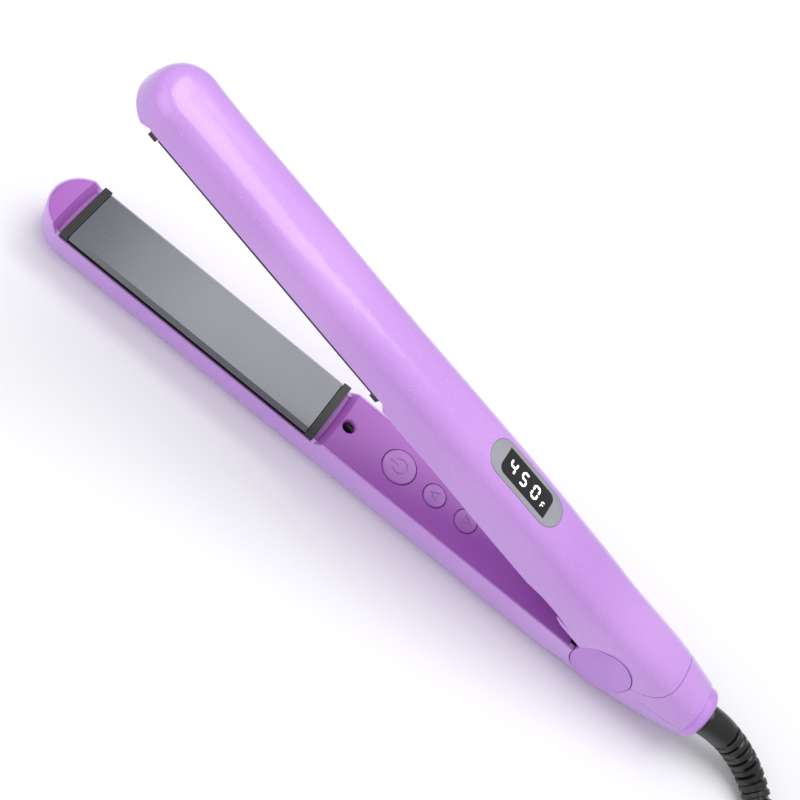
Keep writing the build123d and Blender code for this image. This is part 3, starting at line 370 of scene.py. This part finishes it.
# Soft PVC of the cord and its boot: black with a low oily sheen.
CORD_PVC = Finish("pvc_extruded_black", "1A1B19", "0E0F0E", (0.28, 0.42), grain_mm=0.5,
                  relief_mm=0.006, drift_mm=10.0, coat=0.15, coat_roughness=0.3)
# Moulded PVC plug, duller than the cord.
PLUG_PVC = Finish("pvc_moulded_black", "1D1D1D", "121212", (0.45, 0.6), grain_mm=0.35,
                  relief_mm=0.012, drift_mm=12.0)
# Rolled brass blades: warm yellow with fine lines along them.
BRASS = Finish("brass_rolled", "D9C48A", "C5AD70", (0.18, 0.28), texture=Texture.BRUSHED,
               grain_mm=0.15, relief_mm=0.001, drift_mm=5.0, metallic=1.0)
# Grey ABS bezel, sprayed satin.
GREY_BEZEL = Finish("abs_sprayed_grey", "A3A3A9", "98989E", (0.32, 0.42), grain_mm=0.25,
                    relief_mm=0.002, drift_mm=10.0, metallic=0.2, coat=0.15, coat_roughness=0.2)
# Smoked acrylic of the display window: nearly black and smooth.
SMOKED_ACRYLIC = Finish("acrylic_smoked", "0C0C0D", "060607", (0.08, 0.14), grain_mm=0.4,
                        relief_mm=0.0004, drift_mm=9.0, ior=1.49, coat=0.5, coat_roughness=0.04)
# Lit segments, laid on the face of the acrylic: even white light.
LIT_SEGMENT = Finish("light_guide_white", "FFFFFF", "F2F6FF", (0.4, 0.5), grain_mm=0.3,
                     relief_mm=0.0005, drift_mm=3.0, glow=0.9)
# Silicone rubber pads: brick red and dull.
SILICONE = Finish("silicone_moulded_red", "A9452F", "8E3423", (0.6, 0.75), grain_mm=0.4,
                  relief_mm=0.01, drift_mm=4.0)
# Mica sheet: buff, with a mottled surface.
MICA = Finish("mica_pressed", "B7AB8C", "8F8468", (0.25, 0.5), texture=Texture.FIRED,
              grain_mm=1.2, relief_mm=0.03, drift_mm=9.0)
# Alumina strip: chalky fired ceramic.
ALUMINA = Finish("alumina_fired", "E7E5DE", "D8D5CB", (0.55, 0.75), texture=Texture.FIRED,
                 grain_mm=0.5, relief_mm=0.01, drift_mm=8.0)
# Glass bead of the sensor.
BEAD_GLASS = Finish("glass_drawn", "E0B27A", "C6925A", (0.05, 0.1), grain_mm=0.5,
                    relief_mm=0.0004, drift_mm=2.0, see_through=0.5)
# Epoxy board under solder resist: glossy green with the weave just showing.
BOARD = Finish("fr4_solder_resist", "2E6B3C", "1F5530", (0.25, 0.4), texture=Texture.WOVEN,
               grain_mm=0.6, relief_mm=0.006, drift_mm=15.0, coat=0.3)
# Moulded nylon of the hub and the terminal block: milky white.
NYLON = Finish("nylon_moulded_white", "DAD8D0", "C9C6BC", (0.4, 0.55), grain_mm=0.4,
               relief_mm=0.006, drift_mm=6.0)
# Glass-fibre sleeve of the heater and mains leads: off-white weave.
SLEEVE = Finish("glass_fibre_braided", "CFC9BA", "A59E8C", (0.6, 0.8), texture=Texture.WOVEN,
                grain_mm=0.4, relief_mm=0.05, drift_mm=6.0)
# Woven hook tape of the cord tie: black nylon loops, soft sheen.
HOOK_TAPE = Finish("nylon_woven_black", "242427", "121214", (0.7, 0.9), texture=Texture.WOVEN,
                   grain_mm=0.5, relief_mm=0.12, drift_mm=8.0, sheen=0.5)
# Painted studio floor, plain and pale.
FLOOR_PAINT = Finish("paint_matt_white", "F4F4F5", "F1F1F3", (0.8, 0.9), grain_mm=3.0,
                     relief_mm=0.002, drift_mm=400.0)


# ---- studio --------------------------------------------------------------------------------------
@dataclass
class Camera:
    """The camera over the near side of the iron, rolled so that the iron lies across the frame."""

    at: Point = (-0.04765, -0.27852, 0.45547)
    aim: Point = (-0.00791, 0.01952, 0.02)
    roll_degrees: float = 45.6
    lens: float = 68.15
    sensor: float = 36.0

    def build(self) -> None:
        """Makes the camera and gives it to the scene."""
        data = bpy.data.cameras.new("camera")
        data.lens, data.sensor_width = self.lens, self.sensor
        camera = bpy.data.objects.new("camera", data)
        bpy.context.scene.collection.objects.link(camera)
        way = (Vector(self.aim) - Vector(self.at)).normalized()
        upright = way.to_track_quat("-Z", "Y")
        camera.rotation_mode = "QUATERNION"
        camera.location = self.at
        camera.rotation_quaternion = Quaternion(way, math.radians(-self.roll_degrees)) @ upright
        bpy.context.scene.camera = camera


@dataclass
class Studio:
    """Pale floor, an even surround and soft area lights."""

    floor_half: float = 3.0
    floor_gap: float = 0.0002
    surround: str = "F6F7FB"
    surround_strength: float = 0.6
    lights: tuple[tuple[str, Point, float, float], ...] = (
        ("key_light", (0.05, 0.22, 0.75), 0.6, 3.9),
        ("fill_light", (-0.5, -0.55, 0.55), 0.8, 2.3),
    )

    def build(self) -> None:
        """Makes the floor, the surround and the lights."""
        half = self.floor_half
        corners = [(-half, -half, 0), (half, -half, 0), (half, half, 0), (-half, half, 0)]
        floor = piece_from("studio_floor", corners, [(0, 1, 2, 3)], FLOOR_PAINT.make())
        floor.location.z = -self.floor_gap
        scene = bpy.context.scene
        scene.view_settings.view_transform = "Standard"
        world = bpy.data.worlds.new("surround")
        scene.world = world
        world.use_nodes = True
        sky = world.node_tree.nodes["Background"]
        sky.inputs["Color"].default_value = linear(self.surround)
        sky.inputs["Strength"].default_value = self.surround_strength
        for name, at, size, power in self.lights:
            data = bpy.data.lights.new(name, "AREA")
            data.size, data.energy = size, power
            lamp = bpy.data.objects.new(name, data)
            scene.collection.objects.link(lamp)
            lamp.location = at
            lamp.rotation_mode = "QUATERNION"
            lamp.rotation_quaternion = (-Vector(at)).to_track_quat("-Z", "Y")


# ---- carried-over pieces -------------------------------------------------------------------------
@dataclass
class Dressing:
    """Gives the exact pieces of the frame their finishes."""

    nodes: dict[str, bpy.types.Object]
    smooth_degrees: float = 32.0

    def wear(self, finish: Finish, *names: str) -> list[str]:
        """Gives nodes one finish and smooth shading between their crisp edges.

        Args:
            finish: The finish.
            *names: The nodes.

        Returns:
            The names, for the report.
        """
        for name in names:
            mesh = self.nodes[name].data
            mesh.materials.clear()
            mesh.materials.append(finish.make())
            mesh.polygons.foreach_set("use_smooth", [True] * len(mesh.polygons))
            mesh.set_sharp_from_angle(angle=math.radians(self.smooth_degrees))
        return list(names)


@dataclass
class Casings(Dressing):
    """Outer shells, tail ring and hinge caps."""

    def build(self) -> list[str]:
        """Dresses the casings."""
        names = self.wear(PEARL_ABS, "lower_shell", "upper_shell")
        return names + self.wear(PLAIN_ABS, "tail_ring", "hinge_cap_near", "hinge_cap_far")


@dataclass
class InnerFaces(Dressing):
    """Violet inner faces with the buttons and the guide pin."""

    def build(self) -> list[str]:
        """Dresses the faces and what sits in them.

        Returns:
            The names of the pieces.
        """
        names = self.wear(SATIN_VIOLET, "lower_tip_cover", "upper_tip_cover", "lower_handle_face",
                          "upper_handle_face")
        names += self.wear(BUTTON_ABS, "power_button", "up_button", "down_button")
        return names + self.wear(DRAWN_STEEL, "guide_pin", "lower_screws", "upper_screws")


@dataclass
class PlateUnits(Dressing):
    """Both heated plates, their frames and what is behind them."""

    def build(self) -> list[str]:
        """Dresses the same pieces in each arm.

        Returns:
            The names of the pieces.
        """
        finishes = {"plate": CERAMIC_COAT, "plate_frame": BLACK_PPS, "heater": ALUMINA,
                    "heater_clamp": DRAWN_STEEL, "thermistor": BEAD_GLASS, "cushions": SILICONE,
                    "heat_shield": MICA, "heater_leads": SLEEVE}
        names = []
        for arm in ("lower", "upper"):
            for piece, finish in finishes.items():
                names += self.wear(finish, f"{arm}_{piece}")
        return names


@dataclass
class Electronics(Dressing):
    """Boards, switches and the mains connection in the handles."""

    def build(self) -> list[str]:
        """Dresses the electronics.

        Returns:
            The names of the pieces.
        """
        names = self.wear(BOARD, "control_board", "display_board")
        names += self.wear(BLACK_PPS, "tact_switches", "board_parts")
        names += self.wear(NYLON, "terminal_block")
        return names + self.wear(SLEEVE, "mains_leads")


@dataclass
class HingeParts(Dressing):
    """Pin, hub and spring between the arms, and the swivel in the tail."""

    def build(self) -> list[str]:
        """Dresses the hinge and the swivel.

        Returns:
            The names of the pieces.
        """
        names = self.wear(DRAWN_STEEL, "hinge_pin", "hinge_spring")
        return names + self.wear(NYLON, "hinge_hub") + self.wear(BLACK_PPS, "swivel_barrel")


# ---- display -------------------------------------------------------------------------------------
@dataclass
class Display(Dressing):
    """Bezel and window, with lit seven-segment numbers just over the window."""

    from_hinge: float = 74.9
    digit_height: float = 5.2
    digit_width: float = 3.3
    stroke: float = 0.8
    gap: float = 0.1
    small_share: float = 0.5
    places: tuple[float, ...] = (-7.4, -1.6, 4.4)
    number: str = "450"
    unit: str = "F"
    unit_place: tuple[float, float] = (9.0, -1.4)
    proud: float = 0.02
    thick: float = 0.06
    probe_height: float = 40.0

    def segment(self, letter: str, share: float) -> list[tuple[float, float]]:
        """Outline of one segment about the middle of its digit.

        Args:
            letter: Which segment.
            share: Size of the digit against a full one.

        Returns:
            Six corners, in millimetres.
        """
        wide, high = self.digit_width / 2 - self.stroke / 2, self.digit_height / 2 - self.stroke / 2
        ends = {"a": ((-wide, high), (wide, high)), "b": ((wide, high), (wide, 0)),
                "c": ((wide, 0), (wide, -high)), "d": ((-wide, -high), (wide, -high)),
                "e": ((-wide, 0), (-wide, -high)), "f": ((-wide, high), (-wide, 0)),
                "g": ((-wide, 0), (wide, 0))}
        start, end = (Vector(p) for p in ends[letter])
        along = (end - start).normalized()
        across = Vector((-along.y, along.x)) * self.stroke / 2
        start, end = start + along * self.gap, end - along * self.gap
        nose = along * self.stroke / 2
        outline = [start, start + nose + across, end - nose + across, end,
                   end - nose - across, start + nose - across]
        return [(p.x * share, p.y * share) for p in outline]

    def signs(self) -> list[tuple[str, float, float, float]]:
        """Each sign with its place along and across the window and its size."""
        signs = [(digit, along, 0.0, 1.0) for digit, along in zip(self.number, self.places)]
        return [*signs, (self.unit, *self.unit_place, self.small_share)]

    def build(self) -> list[str]:
        """Dresses the bezel and the window and lays the lit numbers on it.

        Returns:
            The names of the pieces.
        """
        names = self.wear(GREY_BEZEL, "display_bezel") + self.wear(SMOKED_ACRYLIC, "display_window")
        window = self.nodes["display_window"].data
        skin = BVHTree.FromPolygons([v.co for v in window.vertices],
                                    [tuple(p.vertices) for p in window.polygons])
        turn = Matrix.Rotation(OPEN_ANGLE, 3, "Y")
        out = turn @ Vector((0, 0, 1))
        points: list[Vector] = []
        faces: list[tuple[int, ...]] = []
        for sign, along, across, share in self.signs():
            for letter in LIT_SEGMENTS[sign]:
                first = len(points)
                outline = self.segment(letter, share)
                for x, y in outline:
                    start = place(turn @ Vector((x + along - self.from_hinge, y + across,
                                                 self.probe_height)))
                    hit = skin.ray_cast(start, -out)[0]
                    points += [hit + out * self.proud * MM, hit + out * (self.proud - self.thick) * MM]
                count = len(outline)
                faces.append(tuple(first + 2 * k for k in range(count)))
                faces.append(tuple(first + 2 * k + 1 for k in reversed(range(count))))
                for k in range(count):
                    after = (k + 1) % count
                    faces.append((first + 2 * k, first + 2 * k + 1,
                                  first + 2 * after + 1, first + 2 * after))
        digits = piece_from("display_numbers", points, faces, LIT_SEGMENT.make())
        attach(digits, "upper_arm")
        return [*names, digits.name]


# ---- cord ----------------------------------------------------------------------------------------
@dataclass
class Boot:
    """Bend relief at the tail: a smooth neck, then ribs joined by small bridges over a thin core."""

    route: tuple[Point, ...] = ((41.0, 0.0, -2.0), (49.0, 0.9, -3.0), (57.0, 1.4, -5.6),
                                (65.0, 0.8, -8.7), (72.0, -1.6, -11.0), (77.6, -5.8, -12.0),
                                (82.0, -10.8, -12.3))
    neck_radius: float = 6.1
    neck_length: float = 12.0
    rib_radii: tuple[float, float] = (5.7, 5.0)
    core_radius: float = 3.9
    pitch: float = 3.5
    rib_width: float = 2.3
    bridge_degrees: float = 62.0
    bridge_sink: float = 0.5
    neck_taper: float = 0.35
    flare_length: float = 1.2
    flare_depth: float = 0.3
    edge_width: float = 0.4
    edge_depth: float = 0.35
    sides: int = 40
    step: float = 0.25
    line_steps: int = 24
    smooth_degrees: float = 40.0

    def radius(self, along: float, angle: float, length: float) -> float:
        """Radius of the boot's surface.

        Args:
            along: Distance from the tail.
            angle: Round the boot, in degrees.
            length: The boot's whole length.

        Returns:
            The radius, in millimetres.
        """
        share = max(along - self.neck_length, 0) / (length - self.neck_length)
        rib = self.rib_radii[0] + (self.rib_radii[1] - self.rib_radii[0]) * share
        if along < self.neck_length:
            flare = min(along / self.flare_length, 1.0)
            return (self.neck_radius - self.neck_taper * (along / self.neck_length)
                    - self.flare_depth * (1 - flare))
        inside = along - self.neck_length
        number, within = divmod(inside, self.pitch)
        slot = within < self.pitch - self.rib_width
        if slot and along < length - self.pitch:
            quarter_turn, half_turn = 90, 180  # bridges come in pairs, crosswise from slot to slot
            turned = (angle - quarter_turn * (number % 2)) % half_turn
            if min(turned, half_turn - turned) > self.bridge_degrees / 2:
                return self.core_radius
            return rib - self.bridge_sink
        edge = min(within - (self.pitch - self.rib_width), self.pitch - within)
        return rib - self.edge_depth * max(0.0, 1 - edge / self.edge_width) ** 2

    def build(self) -> bpy.types.Object:
        """Sweeps the boot along its line.

        Returns:
            The boot.
        """
        rough = smooth_line([Vector(p) for p in self.route], self.line_steps)
        length = sum((b - a).length for a, b in zip(rough, rough[1:]))
        line, travelled, wanted = [rough[0]], 0.0, self.step
        for a, b in zip(rough, rough[1:]):
            run = (b - a).length
            while travelled + run >= wanted:
                line.append(a.lerp(b, (wanted - travelled) / run))
                wanted += self.step
            travelled += run
        points = []
        for index, (spot, (across, up)) in enumerate(zip(line, frames_along(line))):
            for side in range(self.sides):
                angle = math.tau * side / self.sides
                reach = self.radius(index * self.step, math.degrees(angle), length)
                points.append(place(spot + (across * math.cos(angle) + up * math.sin(angle)) * reach))
        faces = []
        for ring in range(len(line) - 1):
            for side in range(self.sides):
                a, b = ring * self.sides + side, ring * self.sides + (side + 1) % self.sides
                faces.append((a, b, b + self.sides, a + self.sides))
        last = (len(line) - 1) * self.sides
        faces += [tuple(range(self.sides)), tuple(last + side for side in range(self.sides))]
        boot = piece_from("boot_ribbed", points, faces, CORD_PVC.make(), self.smooth_degrees)
        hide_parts("strain_relief")
        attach(boot, "cord_end")
        return boot


@dataclass
class MainsCord:
    """Mains cord on one smooth line: out of the boot, then folded into a tied hank."""

    length: float = 1.8
    diameter: float = 6.5
    route: tuple[Point, ...] = (
        (41.0, 0.0, -2.0), (49.0, 0.9, -3.0), (57.0, 1.4, -5.6), (65.0, 0.8, -8.7),
        (72.0, -1.6, -11.0), (77.6, -5.8, -12.0), (82.0, -10.8, -12.3), (91.0, -19.6, -13.2),
        (103.0, -25.4, -13.9), (118.0, -27.5, -14.0), (136.0, -27.5, -14.0))
    hank_middle: tuple[float, float] = (161.5, -1.5)
    half_run: float = 14.25
    turns: tuple[tuple[float, int], ...] = ((26.0, 0), (19.5, 0), (19.5, 1), (19.5, 2), (19.5, 3),
                                            (26.0, 3), (26.0, 2), (26.0, 1))
    lowest: float = -14.0
    layer: float = 6.45
    tail: tuple[Point, ...] = ((176.0, -27.3, -7.6), (186.0, -24.0, -7.6), (195.0, -20.6, -8.6),
                               (204.0, -19.95, -10.6))
    blend_points: int = 5
    arc_step: int = 30
    arc_growth: float = 1.017  # radius of an arc's control points against the arc's own
    curve_order: int = 3
    curve_steps: int = 6
    round_steps: int = 6

    def turn(self, radius: float, level: float) -> list[tuple[float, float, float, float]]:
        """Stations of one turn as (x of the end's centre or of the run, angle, radius, height).

        Args:
            radius: Of the end loops.
            level: Height of the turn.

        Returns:
            One entry per point; an angle of -90 or 90 is a point on a run.
        """
        middle, half = self.hank_middle[0], self.half_run
        grown = radius * self.arc_growth
        stations = [(middle - half / 2, -90.0, radius, level), (middle + half / 2, -90.0, radius, level)]
        stations += [(middle + half, angle, grown, level) for angle in range(-75, 90, self.arc_step)]
        stations += [(middle + half / 2, 90.0, radius, level), (middle - half / 2, 90.0, radius, level)]
        stations += [(middle - half, angle, grown, level) for angle in range(105, 270, self.arc_step)]
        return stations

    def points(self) -> list[Vector]:
        """Lays the cord's control points from the tail to the plug.

        Returns:
            The points, in metres.
        """
        line = [place(p) for p in self.route]
        for number, (radius, layer) in enumerate(self.turns):
            after = self.turns[min(number + 1, len(self.turns) - 1)]
            stations = self.turn(radius, self.lowest + layer * self.layer)
            first = len(stations) - self.blend_points
            for index, (x, angle, reach, level) in enumerate(stations):
                share = max(0.0, (index - first + 1) / (self.blend_points + 1))
                share = share * share * (3 - 2 * share)
                reach += (after[0] - radius) * share
                level += (after[1] - layer) * self.layer * share
                round_end = math.radians(angle)
                line.append(place((x + reach * math.cos(round_end),
                                   self.hank_middle[1] + reach * math.sin(round_end), level)))
        level = self.lowest + self.turns[-1][1] * self.layer
        x, y = self.hank_middle
        near = y - self.turns[-1][0]
        line += [place((x - self.half_run / 2, near, level)), place((x + self.half_run / 3, near, level))]
        return line + [place(p) for p in self.tail]

    def build(self, pieces_on_it: Sequence[bpy.types.Object]) -> bpy.types.Object:
        """Args:
            pieces_on_it: Boot, tie and plug; not used.

        Returns:
            The cord's curve.
        """
        data = bpy.data.curves.new("mains_cord", "CURVE")
        data.dimensions = "3D"
        data.bevel_depth = self.diameter / 2 * MM
        data.bevel_resolution = self.round_steps
        data.use_fill_caps = True
        spline = data.splines.new("NURBS")
        line = self.points()
        spline.points.add(len(line) - 1)
        for point, spot in zip(spline.points, line):
            point.co = (*spot, 1.0)
        spline.order_u = self.curve_order
        spline.use_endpoint_u = True
        spline.resolution_u = self.curve_steps
        data.materials.append(CORD_PVC.make())
        cord = bpy.data.objects.new("mains_cord", data)
        bpy.context.scene.collection.objects.link(cord)
        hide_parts("power_cord", "cord_hank")
        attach(cord, "cord_end")
        return cord


@dataclass
class Tie:
    """Hook-and-loop strap pulled round the middle of the hank."""

    middle: Point = (161.5, -1.5)
    half_width: float = 29.3
    low: float = -17.3
    high: float = 8.8
    corner: float = 3.6
    thick: float = 1.0
    width: float = 9.0
    floor_gap: float = 0.02
    corner_steps: int = 6
    tab_start: float = -8.0
    tab_thick: float = 0.7
    tab_inset: float = 0.6
    tab_sink: float = 0.3
    tab_line: tuple[tuple[float, float], ...] = ((4.0, 0.05), (7.0, 0.05), (12.0, 0.15), (17.0, 0.2))

    def outline(self, grow: float) -> list[tuple[float, float]]:
        """Rounded outline round the hank.

        Args:
            grow: Distance outside the cords.

        Returns:
            Across and up, in millimetres, anticlockwise.
        """
        radius = self.corner + grow
        corners = ((1, -1, -90), (1, 1, 0), (-1, 1, 90), (-1, -1, 180))
        middle_y = (self.low + self.high) / 2
        outline = []
        for across, up, start in corners:
            centre = (across * (self.half_width - self.corner),
                      middle_y + up * ((self.high - self.low) / 2 - self.corner))
            for step in range(self.corner_steps + 1):
                angle = math.radians(start + 90 * step / self.corner_steps)
                y, z = centre[0] + radius * math.cos(angle), centre[1] + radius * math.sin(angle)
                outline.append((y, max(z, self.low + self.floor_gap)))
        return outline

    def build(self) -> bpy.types.Object:
        """Makes the strap with a loose tab over its own top.

        Returns:
            The strap.
        """
        inner, outer = self.outline(0.0), self.outline(self.thick)
        count = len(inner)
        points, faces = [], []
        for side in (-self.width / 2, self.width / 2):
            for ring in (inner, outer):
                points += [place((self.middle[0] + side, self.middle[1] + y, z)) for y, z in ring]
        for k in range(count):
            n = (k + 1) % count
            for a, b in ((0, 1), (1, 3), (3, 2), (2, 0)):
                faces.append((a * count + k, a * count + n, b * count + n, b * count + k))
        first = len(points)
        bottom = self.high + self.thick - self.tab_sink
        half_tab = self.width / 2 - self.tab_inset
        for y, up in self.tab_line:
            for side in (-half_tab, half_tab):
                for rise in (0.0, self.tab_thick):
                    points.append(place((self.middle[0] + side, self.middle[1] + y + self.tab_start,
                                         bottom + up + rise)))
        for k in range(len(self.tab_line) - 1):
            a, b = first + 4 * k, first + 4 * k + 4
            faces += [(a, a + 1, b + 1, b), (a + 1, a + 3, b + 3, b + 1), (a + 3, a + 2, b + 2, b + 3),
                      (a + 2, a, b, b + 2)]
        last = first + 4 * (len(self.tab_line) - 1)
        faces += [(first, first + 1, first + 3, first + 2), (last, last + 1, last + 3, last + 2)]
        tie = piece_from("cord_strap", points, faces, HOOK_TAPE.make())
        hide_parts("cord_tie")
        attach(tie, "cord_end")
        return tie


@dataclass
class Plug(Dressing):
    """Two-pin plug, with ribs on its own short relief."""

    start: float = 199.5
    end: float = 207.0
    centre: tuple[float, float] = (-19.95, -10.8)
    radii: tuple[float, float] = (4.9, 5.6)
    ribs: int = 3
    rib_width: float = 1.4
    rib_phase: float = 0.7
    rib_profile: tuple[tuple[float, float], ...] = (
        (-0.5, -0.6), (-0.5, 0.0), (-0.3, 0.25), (0.3, 0.25), (0.5, 0.0), (0.5, -0.6))
    sides: int = 32

    def build(self) -> list[bpy.types.Object]:
        """Dresses the plug and adds the ribs.

        Returns:
            The plug body, its blades and the ribs.
        """
        self.wear(PLUG_PVC, "plug_body")
        self.wear(BRASS, "plug_blades")
        points: list[Vector] = []
        faces: list[tuple[int, ...]] = []
        for rib in range(self.ribs):
            share = (rib + self.rib_phase) / self.ribs
            x = self.start + (self.end - self.start) * share
            radius = self.radii[0] + (self.radii[1] - self.radii[0]) * share
            first = len(points)
            for along, rise in self.rib_profile:
                for side in range(self.sides):
                    angle = math.tau * side / self.sides
                    reach = radius + rise
                    points.append(place((x + along * self.rib_width,
                                         self.centre[0] + reach * math.cos(angle),
                                         self.centre[1] + reach * math.sin(angle))))
            for row in range(len(self.rib_profile)):
                after = (row + 1) % len(self.rib_profile)
                for side in range(self.sides):
                    n = (side + 1) % self.sides
                    faces.append((first + row * self.sides + side, first + row * self.sides + n,
                                  first + after * self.sides + n, first + after * self.sides + side))
        ribs = piece_from("plug_ribs", points, faces, PLUG_PVC.make())
        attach(ribs, "cord_end")
        return [self.nodes["plug_body"], self.nodes["plug_blades"], ribs]


def main(frame: dict[str, Any]) -> None:
    """Builds the scene in order: camera, cord, then every sub-assembly and the studio.

    Args:
        frame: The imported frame.
    """
    nodes = frame["nodes"]
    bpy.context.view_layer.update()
    Camera().build()
    boot = Boot().build()
    tie = Tie().build()
    plug = Plug(nodes).build()
    cord = MainsCord().build([boot, tie, *plug])
    for made in (boot, tie, *plug, cord):
        LOG.info("cord: %s", made.name)
    for assembly in (Casings, InnerFaces, PlateUnits, Electronics, HingeParts, Display):
        for name in assembly(nodes).build():
            LOG.info("%s: %s", assembly.__name__, name)
    Studio().build()
    LOG.info("studio: floor, surround and lights")


if __name__ == "__main__":
    logging.basicConfig(level=logging.INFO)
    main(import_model())
